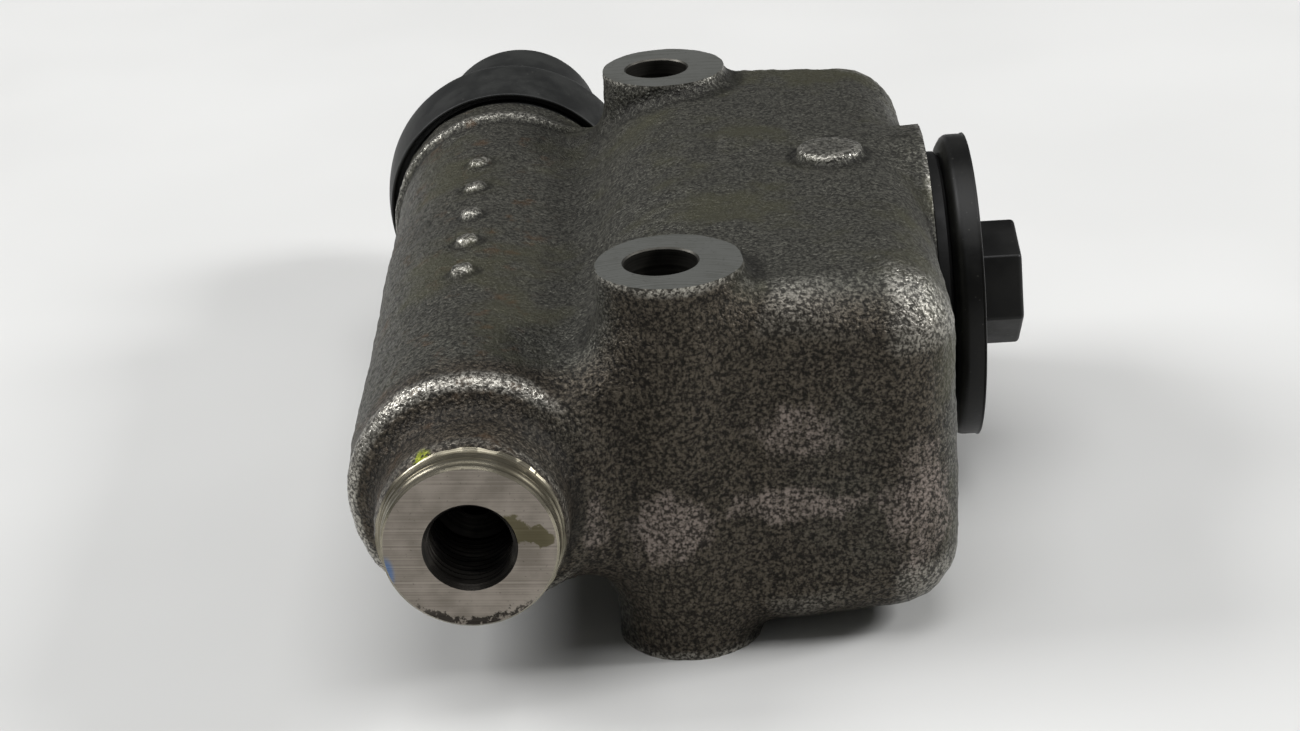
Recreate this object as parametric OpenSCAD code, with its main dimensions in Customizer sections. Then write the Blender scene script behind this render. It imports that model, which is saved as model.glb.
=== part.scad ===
// Brake master cylinder. A sand-cast iron body holds the barrel and, cast beside it, the fluid
// reservoir with its screw-in filler cap. Inside the barrel are the piston with its two cups,
// the return spring and the check valve at the outlet. A rubber boot closes the open end.
// The mounting bolts run along Z and the part lies on the lower boss faces, at z = 0.
// The outlet faces -Y, the boot +Y and the filler cap +X.
// The origin is midway between the two mounting holes, on the lower boss faces.

/* [Mounting] */
// Distance between the centres of the two mounting holes
hole_spacing = 88.9; // [86:0.1:110]
// Diameter of each mounting hole
mount_hole_d = 10.3; // [8.4:0.1:12.6]
// Radius of each mounting boss
boss_r = 10.2; // [9.6:0.1:11.6]
// How far each boss sits off its hole, away from the barrel
boss_shift_x = 1.2; // [0:0.1:1.6]
// How far each boss sits off its hole, towards the nearer end of the body
boss_shift_y = 0.3; // [0:0.1:1]
// Height across the machined boss faces
body_h = 57.2; // [56:0.1:72]

/* [Reservoir] */
// How far each end wall lies past its mounting hole
wall_past_hole = 8.95; // [4:0.05:14]
// Distance from the mounting holes to the reservoir's outer side
res_side_x = 40.3; // [38:0.1:50]
// Step from each boss face down to the reservoir's flat top or bottom
res_step = 2.3; // [1:0.1:4]
// Where the top starts to slope down towards the barrel
slope_start_x = -4; // [-5:0.1:-2]
// Wall of the reservoir
res_wall = 4.5; // [3:0.1:6]
// Rounding of the long edges on the outer side
side_edge_r = 10; // [6:0.5:12]
// Rounding of the edges round the two end walls
end_edge_r = 7; // [4:0.5:8]
// Diameter of the round cast pad on the top
pad_d = 9.8; // [6:0.1:12]
// Height of the round cast pad above the top
pad_h = 1.6; // [0.5:0.1:2]
// Distance from the mounting holes to the pad
pad_x = 26.3; // [22:0.1:30]

/* [Barrel] */
// Diameter of the bore that the piston slides in
bore_d = 25.4; // [21.1:0.1:31.8]
// Iron left round the bore, at the outlet end
barrel_wall = 5.3; // [4.4:0.1:6.4]
// How much wider the barrel has grown by its open end
barrel_flare = 1; // [0:0.1:1.6]
// Distance from the mounting holes to the barrel's axis
barrel_offset = 27.3; // [26:0.1:32]
// Where the bore ends at the outlet end
bore_end_y = -50; // [-54:0.5:-48]
// Length of the bore, from there to the open end of the barrel
bore_len = 113; // [108:0.5:136]
// Iron between the end of the bore and the barrel's near shoulder
end_wall = 6.8; // [6:0.1:12]
// Height of the web between barrel and reservoir
web_h = 26.6; // [18:0.1:30]

/* [Outlet] */
// Diameter of the turned boss round the outlet
outlet_boss_d = 23.9; // [20:0.1:28.7]
// How far the outlet boss stands out of the shoulder
outlet_boss_l = 14.7; // [12:0.1:18]
// Diameter of the drilled hole for the outlet thread
outlet_hole_d = 11.5; // [9.6:0.1:13.8]
// Depth of the drilled hole for the outlet thread
outlet_hole_l = 14; // [11:0.5:17]
// Diameter at the mouth of the outlet's countersink
outlet_mouth_d = 12.9; // [12:0.1:15.4]
// Diameter of the passage from the bore to the outlet
passage_d = 6; // [4:0.1:7.2]

/* [Filler] */
// Where the filler neck sits along the body
neck_y = 10.8; // [6:0.1:14]
// Diameter of the filler neck
neck_d = 51.8; // [46:0.1:53]
// How far the neck's face stands out of the reservoir's side
neck_proud = 1; // [0.6:0.1:4]
// Diameter of the threaded filler mouth
mouth_d = 35; // [29.2:0.1:40]
// Pitch of the cap's thread
cap_pitch = 2; // [1.5:0.1:3]
// Diameter of the cap's flange
cap_flange_d = 48.4; // [45:0.1:52]
// Thickness of the cap's flange
cap_flange_t = 4.5; // [3:0.1:6]
// Size of the cap's hexagon across its corners
cap_hex_d = 20; // [16:0.1:24]
// How far the hexagon stands out of the flange
cap_hex_h = 7.5; // [5:0.1:10]
// How far the cap's threaded skirt reaches into the mouth
cap_skirt_l = 9.6; // [8:0.1:12]
// Wall of the cap
cap_wall = 3.2; // [2:0.1:4]
// Thickness of the gasket under the flange
gasket_t = 2.5; // [1.5:0.1:3.5]
// Diameter of the gasket
gasket_d = 43; // [41:0.1:45]
// Thickness of the baffle disc in the cap
baffle_t = 1; // [0.6:0.1:2]

/* [Piston] */
// How far the piston can be pushed in
stroke = 25; // [18:0.5:26]
// Length of the piston
piston_l = 41.6; // [40:0.1:50]
// Length of the piston's head, between the primary cup and the waist
head_l = 4; // [3:0.1:6]
// Diameter of the piston's waist
waist_d = 16; // [13:0.1:17]
// Length of the rear land, behind the secondary cup
rear_land_l = 4.5; // [3:0.1:6]
// Length of the groove for the secondary cup
cup_groove_l = 5; // [4:0.1:6]
// Diameter of the socket for the pushrod
socket_d = 8.2; // [6.8:0.1:9.8]
// Depth of the pushrod socket
socket_l = 19; // [12:0.5:24]
// Length of the primary cup
primary_cup_l = 8; // [6:0.1:10]
// Thickness of the cups' lips
lip_t = 2; // [1.5:0.1:2.5]
// Thickness of the thin washer between the primary cup and the piston
port_washer_t = 0.4; // [0.2:0.1:0.8]
// Thickness of the stop washer
stop_washer_t = 1.5; // [1:0.1:2]
// Thickness of the snap ring
snap_ring_t = 1.3; // [1:0.1:1.8]
// Iron behind the snap ring, at the open end
lip_past_ring = 3.7; // [3:0.1:6]

/* [Spring and valve] */
// Diameter of the spring wire
wire_d = 1.9; // [1.5:0.1:2.3]
// Number of turns in the return spring
spring_turns = 9; // [6:1:12]
// Thickness of the rubber valve seat
seat_t = 2; // [1.5:0.1:3]
// Thickness of the valve cage's sheet
cage_t = 0.9; // [0.6:0.1:1.2]
// Length of the valve cage's dome
cage_dome_l = 7; // [5:0.1:9]

/* [Boot] */
// Thickness of the boot's rubber
boot_wall = 1.8; // [1.2:0.1:2.4]
// Width of the groove that the boot's bead snaps into
boot_groove_w = 3; // [2:0.1:4]
// Length of the rim past that groove
boot_rim_w = 2; // [1.5:0.1:3]
// Depth of the groove, below the rim
boot_groove_depth = 1.8; // [1:0.1:2.2]
// How far the boot's broad bulge stands out past the barrel's rim
boot_bulge_h = 3.4; // [3:0.1:5]
// Distance from the barrel's open end to the crest of that bulge
boot_bulge_y = 7.2; // [5:0.1:9]
// Radius of the boot's narrower dome
boot_dome_r = 15.3; // [13:0.1:17]
// Length of the boot outside the barrel
boot_l = 54; // [46:0.5:64]

/* [Clearances] */
// Radial running clearance of the piston and its cups in the bore
bore_clear = 0.05; // [0.02:0.01:0.1]
// Radial clearance of the cap's thread in the filler mouth
thread_clear = 0.3; // [0.2:0.05:0.5]
// Clearance between faces that meet and part again as the pieces move
face_clear = 0.1; // [0.05:0.05:0.3]
// Clearance round pieces that sit still in a seat or groove
seat_clear = 0.05; // [0.02:0.01:0.1]
// Room round the boot, where the reservoir's block reaches past the boot's groove
boot_room = 0.6; // [0.3:0.1:2]

/* [Hidden] */
$fn = 96;
arc_steps = 6;
overcut = 1;

mid_z = body_h / 2;
barrel_x = -barrel_offset;
bore_r = bore_d / 2;
barrel_r = bore_r + barrel_wall;
flare_r = barrel_r + barrel_flare;

// Places along the barrel, from the outlet face to the open end
shoulder_y = bore_end_y - end_wall;
outlet_face_y = shoulder_y - outlet_boss_l;
bore_mouth_y = bore_end_y + bore_len;
groove_y = bore_mouth_y - boot_rim_w - boot_groove_w;
snap_ring_y = bore_mouth_y - lip_past_ring - snap_ring_t;
stop_washer_y = snap_ring_y - seat_clear - stop_washer_t;
piston_end_y = stop_washer_y - face_clear;
piston_y = piston_end_y - piston_l;
port_washer_y = piston_y - port_washer_t;
primary_cup_y = port_washer_y - primary_cup_l;
seat_face_y = bore_end_y + seat_t;
cage_y = seat_face_y + face_clear;

// Places across the body, from the mounting holes
far_y = hole_spacing / 2 + wall_past_hole;
near_y = -far_y;
res_top_z = body_h - res_step;
slope_end_x = barrel_x + sqrt(pow(flare_r, 2) - pow(web_h / 2, 2));
neck_face_x = res_side_x + neck_proud;
gasket_x = neck_face_x + face_clear;
flange_x = gasket_x + gasket_t + face_clear;
hex_x = flange_x + cap_flange_t;

// Radii of what fits in the bore, in the filler mouth and on the barrel's open end
run_r = bore_r - bore_clear;
snap_groove_r = bore_r + 0.9;
skirt_r = mouth_d / 2 - thread_clear;
skirt_inner_r = skirt_r - cap_wall;
rim_r = flare_r + 0.1;
boot_groove_r = rim_r - boot_groove_depth;
boot_crest_r = rim_r + boot_bulge_h;
cup_groove_r = bore_r - 3.2;
cup_hollow_r = run_r - lip_t;
spring_r = cup_hollow_r - seat_clear - 0.7 - wire_d / 2;
spring_inner_r = spring_r - wire_d / 2;
dome_r = spring_inner_r - 0.4;
sheet_t = 1;
retainer_y = piston_y - port_washer_t - 3 - sheet_t;
boot_end_y = bore_mouth_y + boot_l;

// Points along an arc, from one angle to another
function arc_points(centre, r, from, to, steps = arc_steps) =
    [for (i = [0:steps]) let (a = from + (to - from) * i / steps)
        [centre[0] + r * cos(a), centre[1] + r * sin(a)]];

// A rectangle between two corners, with its corners rounded by r
function round_rect(low, high, r) = concat(
    arc_points([high[0] - r, high[1] - r], r, 0, 90),
    arc_points([low[0] + r, high[1] - r], r, 90, 180),
    arc_points([low[0] + r, low[1] + r], r, 180, 270),
    arc_points([high[0] - r, low[1] + r], r, 270, 360));

// Turns a shape's own +Z to run along the barrel, towards the boot
module along_barrel(y = 0) {
    translate([barrel_x, y, mid_z]) rotate([-90, 0, 0]) children();
}

// Turns a shape's own +Z to run along the filler neck, out of the reservoir
module along_neck(x = 0) {
    translate([x, neck_y, mid_z]) rotate([0, 90, 0]) children();
}

// A round solid turned about the barrel's axis from [radius, y] points
module turned(points) {
    along_barrel() rotate_extrude() polygon(points);
}

// A round solid turned about the neck's axis from [radius, x] points
module turned_cap(points) {
    along_neck() rotate_extrude() polygon(points);
}

// A hole or rod along the barrel between two places
module barrel_rod(r, from, to) {
    along_barrel(from) cylinder(r = r, h = to - from);
}

// The outside of the barrel, with the outlet boss and the ends that were turned on a lathe
module barrel_skin() {
    boss = outlet_boss_d / 2;
    neck = boss + 1.2;
    fillet = 2;
    edge = 2.5;
    turned(concat(
        [[0, outlet_face_y], [boss - 0.5, outlet_face_y], [boss, outlet_face_y + 0.5]],
        [[boss, outlet_face_y + 4.5], [neck, outlet_face_y + 5.5]],
        [[neck, shoulder_y - fillet]],
        arc_points([neck + fillet, shoulder_y - fillet], fillet, 180, 90),
        arc_points([barrel_r - edge, shoulder_y + edge], edge, -90, 0),
        [[flare_r, groove_y - 8], [flare_r + 1, groove_y - 6.5], [flare_r + 1, groove_y - 5.5]],
        [[rim_r + 0.6, groove_y - 5], [rim_r + 0.6, groove_y], [boot_groove_r, groove_y]],
        [[boot_groove_r, groove_y + boot_groove_w], [rim_r, groove_y + boot_groove_w]],
        [[rim_r, bore_mouth_y - 0.5], [rim_r - 0.5, bore_mouth_y], [0, bore_mouth_y]]));
}

// The reservoir's rounded block, which slopes down to the web at the barrel
module reservoir_block() {
    block_l = far_y - near_y;
    low_z = res_step;
    intersection() {
        translate([0, far_y, 0]) rotate([90, 0, 0]) linear_extrude(block_l) polygon(concat(
            arc_points([res_side_x - side_edge_r, res_top_z - side_edge_r], side_edge_r, 0, 90),
            [[slope_start_x, res_top_z], [slope_end_x, mid_z + web_h / 2]],
            [[slope_end_x, mid_z - web_h / 2], [slope_start_x, low_z]],
            arc_points([res_side_x - side_edge_r, low_z + side_edge_r], side_edge_r, 270, 360)));
        translate([slope_end_x - overcut, 0, 0]) rotate([90, 0, 90])
            linear_extrude(res_side_x - slope_end_x + 2 * overcut)
                polygon(round_rect([near_y, low_z], [far_y, res_top_z], end_edge_r));
        linear_extrude(body_h)
            polygon(round_rect([slope_end_x - side_edge_r, near_y], [res_side_x, far_y], side_edge_r));
    }
}

// The hollow of the reservoir: the middle between the bosses, and a full-length part past them
module reservoir_hollow() {
    boss_edge = hole_spacing / 2 + boss_shift_y - boss_r - 1;
    past_boss_x = boss_shift_x + boss_r + 1.6;
    hollow_r = 4;
    translate([0, 0, res_step + res_wall]) linear_extrude(body_h - 2 * (res_step + res_wall)) union() {
        polygon(round_rect([slope_start_x - 1, -boss_edge], [res_side_x - res_wall, boss_edge], hollow_r));
        polygon(round_rect([past_boss_x, near_y + res_wall],
            [res_side_x - res_wall, far_y - res_wall], hollow_r));
    }
}

// A row of plain cast pips along the top of the barrel
module casting_pips() {
    pip_count = 5;
    pip_pitch = 12;
    pip_r = 1.5;
    pip_h = 0.7;
    for (i = [0:pip_count - 1])
        translate([barrel_x, -18 + i * pip_pitch, mid_z]) rotate([0, -8, 0])
            cylinder(r = pip_r, h = flare_r + pip_h);
}

// The drilled mounting hole through each boss
module at_mount_holes(shift = [0, 0]) {
    for (side = [-1, 1]) translate([shift[0], side * (hole_spacing / 2 + shift[1]), 0]) children();
}

module body_casting() {
    mouth_depth = res_side_x - res_wall - overcut;
    hole_r = outlet_hole_d / 2;
    mouth_r = outlet_mouth_d / 2;
    color("dimgray") difference() {
        union() {
            barrel_skin();
            difference() {
                union() {
                    reservoir_block();
                    translate([barrel_x, near_y + 1, mid_z - web_h / 2])
                        cube([slope_start_x - barrel_x, far_y - near_y - 2, web_h]);
                    at_mount_holes([boss_shift_x, boss_shift_y]) cylinder(r = boss_r, h = body_h);
                }
                barrel_rod(boot_crest_r + boot_room, groove_y, boot_end_y);
            }
            along_neck(slope_start_x + 20) cylinder(d = neck_d, h = neck_face_x - slope_start_x - 20);
            translate([pad_x, neck_y - 9.2, mid_z]) cylinder(d = pad_d, h = res_top_z - mid_z + pad_h);
            casting_pips();
        }
        at_mount_holes() translate([0, 0, -overcut]) cylinder(d = mount_hole_d, h = body_h + 2 * overcut);
        reservoir_hollow();
        along_neck(mouth_depth) cylinder(d = mouth_d, h = neck_face_x - mouth_depth + overcut);
        // The bore, the snap ring's groove and the chamfer that lets the cups in
        turned([[0, bore_end_y], [bore_r, bore_end_y], [bore_r, snap_ring_y - seat_clear],
            [snap_groove_r, snap_ring_y - seat_clear], [snap_groove_r, snap_ring_y + snap_ring_t + seat_clear],
            [bore_r, snap_ring_y + snap_ring_t + seat_clear], [bore_r, bore_mouth_y - 1],
            [bore_r + 1 + overcut, bore_mouth_y + overcut], [0, bore_mouth_y + overcut]]);
        barrel_rod(passage_d / 2, outlet_face_y, bore_end_y + overcut);
        barrel_rod(hole_r, outlet_face_y - overcut, outlet_face_y + outlet_hole_l);
        turned([[0, outlet_face_y - overcut], [mouth_r + overcut, outlet_face_y - overcut],
            [hole_r, outlet_face_y + mouth_r - hole_r], [0, outlet_face_y + mouth_r - hole_r]]);
        // The compensating port, just past the primary cup's lip, and the wider intake port
        translate([barrel_x, primary_cup_y - 1.4, mid_z]) rotate([0, 90, 0])
            cylinder(d = 1.2, h = barrel_offset + overcut);
        translate([barrel_x, piston_y + head_l + 1.6, mid_z]) rotate([0, 90, 0])
            cylinder(d = 4, h = barrel_offset + overcut);
    }
}

module filler_cap() {
    flange_r = cap_flange_d / 2;
    hollow_r = cap_hex_d / 2 * cos(30) - 2.4;
    ledge_x = gasket_x - cap_skirt_l + 6;
    top_x = hex_x + cap_hex_h;
    nub_h = 0.6;
    color([0.08, 0.08, 0.08]) difference() {
        union() {
            turned_cap([[0, gasket_x - cap_skirt_l], [skirt_r - 0.6, gasket_x - cap_skirt_l],
                [skirt_r, gasket_x - cap_skirt_l + 0.6], [skirt_r, flange_x], [gasket_d / 2, flange_x],
                [flange_r - 1.2, flange_x + 0.6], [flange_r, flange_x + 0.6], [flange_r, hex_x - 0.4],
                [flange_r - 0.4, hex_x], [0, hex_x]]);
            along_neck(hex_x - overcut) rotate(-15.6) cylinder(d = cap_hex_d, h = cap_hex_h + overcut, $fn = 6);
            along_neck(top_x - overcut) cylinder(r = 1.4, h = overcut + nub_h);
        }
        turned_cap([[0, gasket_x - cap_skirt_l - overcut], [skirt_inner_r, gasket_x - cap_skirt_l - overcut],
            [skirt_inner_r, ledge_x], [skirt_inner_r - 1.5, ledge_x], [skirt_inner_r - 1.5, flange_x + 1],
            [hollow_r, flange_x + 1], [hollow_r, top_x - 2.4], [0, top_x - 2.4]]);
        along_neck(top_x - 3) cylinder(d = 1.2, h = 3 + nub_h + overcut);
    }
}

module cap_gasket() {
    inner_r = skirt_r + 0.3;
    outer_r = gasket_d / 2;
    low_x = gasket_x;
    high_x = gasket_x + gasket_t;
    color([0.16, 0.16, 0.17]) turned_cap([[inner_r, low_x], [outer_r - 0.5, low_x],
        [outer_r, low_x + 0.5], [outer_r, high_x - 0.5], [outer_r - 0.5, high_x], [inner_r, high_x]]);
}

module vent_baffle() {
    ledge_x = gasket_x - cap_skirt_l + 6;
    hole_count = 4;
    color("gray") difference() {
        along_neck(ledge_x - baffle_t) cylinder(r = skirt_inner_r - seat_clear, h = baffle_t);
        for (i = [0:hole_count - 1])
            along_neck(ledge_x - baffle_t - overcut) rotate(45 + i * 360 / hole_count)
                translate([skirt_inner_r * 0.68, 0, 0]) cylinder(d = 2, h = baffle_t + 2 * overcut);
    }
}

module dust_boot() {
    bead_r = boot_groove_r + seat_clear;
    bead_y = groove_y + seat_clear;
    bead_end_y = groove_y + boot_groove_w - seat_clear;
    over_rim_r = rim_r + 0.3;
    hole_r = socket_d / 2;
    neck_r = hole_r + boot_wall + 0.4;
    neck_l = 5;
    // The bulge is a long flat arc up to its crest, and a tight one down its far side
    crest_y = bore_mouth_y + boot_bulge_y;
    long_r = 39;
    long_angle = asin((crest_y - bead_y - 1.5) / long_r);
    tight_r = 4.5;
    valley_y = crest_y + tight_r + 3.3;
    valley_r = boot_dome_r - 0.9;
    end_r = boot_dome_r - neck_r;
    dome_y = boot_end_y - neck_l - end_r;
    color([0.14, 0.14, 0.15]) turned(concat(
        [[bead_r, bead_y], [over_rim_r + 1.2, bead_y + 0.2]],
        arc_points([boot_crest_r - long_r, crest_y], long_r, -long_angle, 0),
        arc_points([boot_crest_r - tight_r, crest_y], tight_r, 12, 75),
        [[valley_r, valley_y], [boot_dome_r, valley_y + 5]],
        arc_points([neck_r, dome_y], end_r, 0, 90),
        [[neck_r, boot_end_y - 0.5], [neck_r - 0.5, boot_end_y], [hole_r, boot_end_y]],
        // The inside, one wall in from the outside, back to the bead
        [[hole_r, boot_end_y - neck_l - boot_wall]],
        arc_points([neck_r, dome_y], end_r - boot_wall, 90, 0),
        [[boot_dome_r - boot_wall, valley_y + 5], [valley_r - boot_wall, valley_y]],
        arc_points([boot_crest_r - tight_r, crest_y], tight_r - boot_wall, 60, 12),
        arc_points([boot_crest_r - long_r, crest_y], long_r - boot_wall, 0, -long_angle * 0.7),
        [[over_rim_r, bore_mouth_y - boot_rim_w], [over_rim_r, bead_end_y], [bead_r, bead_end_y]]));
}

module snap_ring() {
    ring_r = snap_groove_r - 0.1;
    width = 2.6;
    gap_angle = 40;
    color("silver") along_barrel(snap_ring_y) rotate(90 + gap_angle / 2)
        rotate_extrude(angle = 360 - gap_angle) translate([ring_r - width, 0]) square([width, snap_ring_t]);
}

module stop_washer() {
    color("silver") along_barrel(stop_washer_y) difference() {
        cylinder(r = run_r - 0.15, h = stop_washer_t);
        translate([0, 0, -overcut]) cylinder(r = socket_d / 2 + 2.4, h = stop_washer_t + 2 * overcut);
    }
}

module piston() {
    rear_y = piston_end_y - rear_land_l;
    groove_y = rear_y - cup_groove_l;
    guide_y = groove_y - 1.5;
    head_y = piston_y + head_l;
    socket_r = socket_d / 2;
    bleed_count = 6;
    color("silver") difference() {
        turned([[0, piston_y], [run_r - 0.4, piston_y], [run_r, piston_y + 0.4], [run_r, head_y],
            [waist_d / 2, head_y], [waist_d / 2, guide_y], [run_r - 0.6, guide_y], [run_r - 0.6, groove_y],
            [cup_groove_r, groove_y], [cup_groove_r, rear_y], [run_r, rear_y],
            [run_r, piston_end_y - 0.6], [run_r - 0.6, piston_end_y], [0, piston_end_y]]);
        // The socket, with the drill's cone at its bottom, and a wider mouth
        turned([[0, piston_end_y - socket_l - socket_r * 0.6], [socket_r, piston_end_y - socket_l],
            [socket_r, piston_end_y - 1.5], [socket_r + 1.5 + overcut, piston_end_y + overcut],
            [0, piston_end_y + overcut]]);
        // The small holes that let fluid past the head on the way back
        for (i = [0:bleed_count - 1])
            along_barrel(piston_y - overcut) rotate(i * 360 / bleed_count)
                translate([(run_r + waist_d / 2) / 2, 0, 0]) cylinder(d = 1.6, h = head_l + 2 * overcut);
    }
}

module secondary_cup() {
    rear_y = piston_end_y - rear_land_l - seat_clear;
    front_y = rear_y - cup_groove_l + 2 * seat_clear;
    inner_r = cup_groove_r + seat_clear;
    color([0.1, 0.1, 0.1]) turned([[inner_r, front_y + 0.6], [inner_r + 0.6, front_y + 0.6],
        [inner_r + 1.1, front_y + 2], [run_r - 1.1, front_y + 2], [run_r - 0.8, front_y], [run_r, front_y],
        [run_r, front_y + 1], [run_r - 0.4, rear_y], [inner_r, rear_y]]);
}

module port_washer() {
    color("silver") along_barrel(port_washer_y) cylinder(r = run_r - 0.9, h = port_washer_t);
}

module primary_cup() {
    web_y = port_washer_y - 3;
    color([0.1, 0.1, 0.1]) turned([[0, web_y], [cup_hollow_r - 0.5, web_y], [cup_hollow_r, web_y - 0.5],
        [cup_hollow_r + 0.6, primary_cup_y], [run_r, primary_cup_y], [run_r, primary_cup_y + 1.2],
        [run_r - 0.5, port_washer_y], [0, port_washer_y]]);
}

// The stamped disc that the spring pushes on, with a low dome that centres the coil
module spring_retainer() {
    edge_r = cup_hollow_r - 0.6;
    dome_l = 5;
    color("silver") turned([[0, retainer_y - dome_l], [dome_r - 1, retainer_y - dome_l],
        [dome_r, retainer_y - dome_l + 1], [dome_r, retainer_y], [edge_r, retainer_y],
        [edge_r, retainer_y + sheet_t], [dome_r - sheet_t, retainer_y + sheet_t],
        [dome_r - sheet_t, retainer_y - dome_l + sheet_t + 1],
        [dome_r - sheet_t - 1, retainer_y - dome_l + sheet_t], [0, retainer_y - dome_l + sheet_t]]);
}

// The wire's centre along the coil, with its end turns wound closer, and a ring of points round it
module return_spring() {
    low_y = cage_y + cage_t + seat_clear + wire_d / 2;
    high_y = retainer_y - seat_clear - wire_d / 2;
    steps = spring_turns * 18;
    sides = 6;
    function climb(t) = t - 0.55 * sin(360 * t) / 6.2832;
    function ring(t) = [for (k = [0:sides - 1])
        let (a = 360 * k / sides, r = spring_r + wire_d / 2 * cos(a), turn = 360 * spring_turns * t)
            [r * cos(turn), r * sin(turn), low_y + (high_y - low_y) * climb(t) + wire_d / 2 * sin(a)]];
    points = [for (i = [0:steps]) each ring(i / steps)];
    sides_faces = [for (i = [0:steps - 1], k = [0:sides - 1]) let (a = i * sides + k,
        b = i * sides + (k + 1) % sides) [a, b, b + sides, a + sides]];
    ends = [[for (k = [sides - 1:-1:0]) k], [for (k = [0:sides - 1]) steps * sides + k]];
    color("lightgray") along_barrel() polyhedron(points, concat(sides_faces, ends), convexity = 10);
}

module valve_cage() {
    edge_r = spring_r + wire_d / 2 + 0.3;
    top_y = cage_y + cage_dome_l;
    hole_count = 4;
    color("silver") difference() {
        turned([[3.4, cage_y], [edge_r, cage_y], [edge_r, cage_y + cage_t], [dome_r, cage_y + cage_t],
            [dome_r, top_y - 1], [dome_r - 1, top_y], [0, top_y], [0, top_y - cage_t],
            [dome_r - 1 - cage_t, top_y - cage_t], [dome_r - cage_t, top_y - cage_t - 1],
            [dome_r - cage_t, cage_y + cage_t], [3.4, cage_y + cage_t]]);
        for (i = [0:hole_count - 1])
            along_barrel(top_y - cage_t - overcut) rotate(45 + i * 360 / hole_count)
                translate([dome_r / 2, 0, 0]) cylinder(d = 2, h = cage_t + 2 * overcut);
    }
}

module valve_cup() {
    low_y = cage_y + cage_t + seat_clear;
    cup_r = dome_r - cage_t - 0.25;
    color([0.1, 0.1, 0.1]) turned([[0, low_y], [cup_r - 0.6, low_y], [cup_r, low_y + 0.6], [cup_r, low_y + 3.6],
        [cup_r - 0.8, low_y + 3.6], [cup_r - 1.6, low_y + 2], [0, low_y + 2]]);
}

module valve_seat() {
    color([0.12, 0.12, 0.12]) turned([[passage_d / 2 + 0.6, bore_end_y + seat_clear],
        [bore_r - 0.3, bore_end_y + seat_clear], [bore_r - 0.3, seat_face_y],
        [passage_d / 2 + 0.6, seat_face_y]]);
}

body_casting();
filler_cap();
cap_gasket();
vent_baffle();
dust_boot();
snap_ring();
stop_washer();
piston();
secondary_cup();
port_washer();
primary_cup();
spring_retainer();
return_spring();
valve_cage();
valve_cup();
valve_seat();
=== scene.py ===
import math
from functools import partial

import bmesh
import bpy
import numpy as np
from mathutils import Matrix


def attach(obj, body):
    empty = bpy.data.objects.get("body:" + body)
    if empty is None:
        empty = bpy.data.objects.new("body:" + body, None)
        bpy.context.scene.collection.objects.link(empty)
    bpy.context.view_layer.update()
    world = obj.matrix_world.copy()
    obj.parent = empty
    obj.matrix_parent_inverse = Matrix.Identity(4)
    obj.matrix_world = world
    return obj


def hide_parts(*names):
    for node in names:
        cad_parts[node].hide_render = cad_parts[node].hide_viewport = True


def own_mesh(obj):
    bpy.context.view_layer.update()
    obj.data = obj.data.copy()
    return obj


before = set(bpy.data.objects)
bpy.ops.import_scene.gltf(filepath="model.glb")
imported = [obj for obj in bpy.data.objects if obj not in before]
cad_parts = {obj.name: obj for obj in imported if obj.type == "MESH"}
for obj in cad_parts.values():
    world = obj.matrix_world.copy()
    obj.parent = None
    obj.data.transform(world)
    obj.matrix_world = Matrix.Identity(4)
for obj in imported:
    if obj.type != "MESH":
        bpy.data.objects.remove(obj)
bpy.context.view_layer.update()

import openvdb
from mathutils import Matrix, Vector

print("frame loaded,", len(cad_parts), "nodes")

barrelX = -27.3  # the barrel's axis runs along Y here
midZ = 28.6  # half the height across the machined boss faces
neckY = 10.8  # the filler neck's axis runs along X here
bodyHeight = 57.2
outletFaceY = -71.5
boreMouthY = 63.0


def hexColour(code):
    parts = [int(code[i:i + 2], 16) / 255 for i in (1, 3, 5)]
    return tuple(c / 12.92 if c <= 0.04045 else ((c + 0.055) / 1.055) ** 2.4 for c in parts) + (1,)


# Adds a node with its settings and links. Inputs come in order, or by number or name.
def addNode(tree, kind, inputs=(), output=0, **settings):
    node = tree.nodes.new("ShaderNode" + kind)
    for name, value in settings.items():
        setattr(node, name, value)
    for key, value in inputs.items() if isinstance(inputs, dict) else enumerate(inputs):
        if isinstance(value, bpy.types.NodeSocket):
            tree.links.new(value, node.inputs[key])
        else:
            node.inputs[key].default_value = value
    return node.outputs[output] if node.outputs else node


# settings that many nodes share
softly = {"interpolation_type": "SMOOTHSTEP"}
tint = {"output": 2, "data_type": "RGBA"}
times, plus, minus, most = [{"operation": name} for name in ("MULTIPLY", "ADD", "SUBTRACT", "MAXIMUM")]


# Gives a new material, what adds nodes to it, and the place on the piece in millimetres
def startMaterial(name):
    material = bpy.data.materials.new(name)
    material.use_nodes = True
    material.node_tree.nodes.clear()
    add = partial(addNode, material.node_tree)
    place = add("VectorMath", {0: add("TexCoord", output="Object"), "Scale": 1000}, operation="SCALE")
    return material, add, place


# The depth is how far the relief stands out, in metres
def finishMaterial(material, add, relief, depth, **sockets):
    bump = add("Bump", {"Distance": depth, "Height": relief})
    values = {name.replace("_", " "): value for name, value in sockets.items()}
    add("OutputMaterial", [add("BsdfPrincipled", {"Normal": bump, **values})])
    return material


# How near a place is to a spot, 1 at its middle and 0 at its edge. A size is how far it reaches each way.
def spotMask(add, place, centre, size, soft=0.5):
    away = add("VectorMath", [place, centre], **minus)
    away = add("VectorMath", [away, tuple(1 / s for s in size)], **times)
    away = add("VectorMath", [away], output="Value", operation="LENGTH")
    return add("MapRange", [away, 1, soft], **softly)


# Pushes places about, so that a spot on them gets a ragged outline
def raggedPlace(add, place, size, reach):
    push = add("TexNoise", {"Vector": place, "Scale": 1 / size, "Detail": 4, "Roughness": 0.65}, output="Color")
    push = add("VectorMath", [push, (0.5, 0.5, 0.5)], **minus)
    return add("VectorMath", [push, (reach, reach, reach), place], operation="MULTIPLY_ADD")


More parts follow.
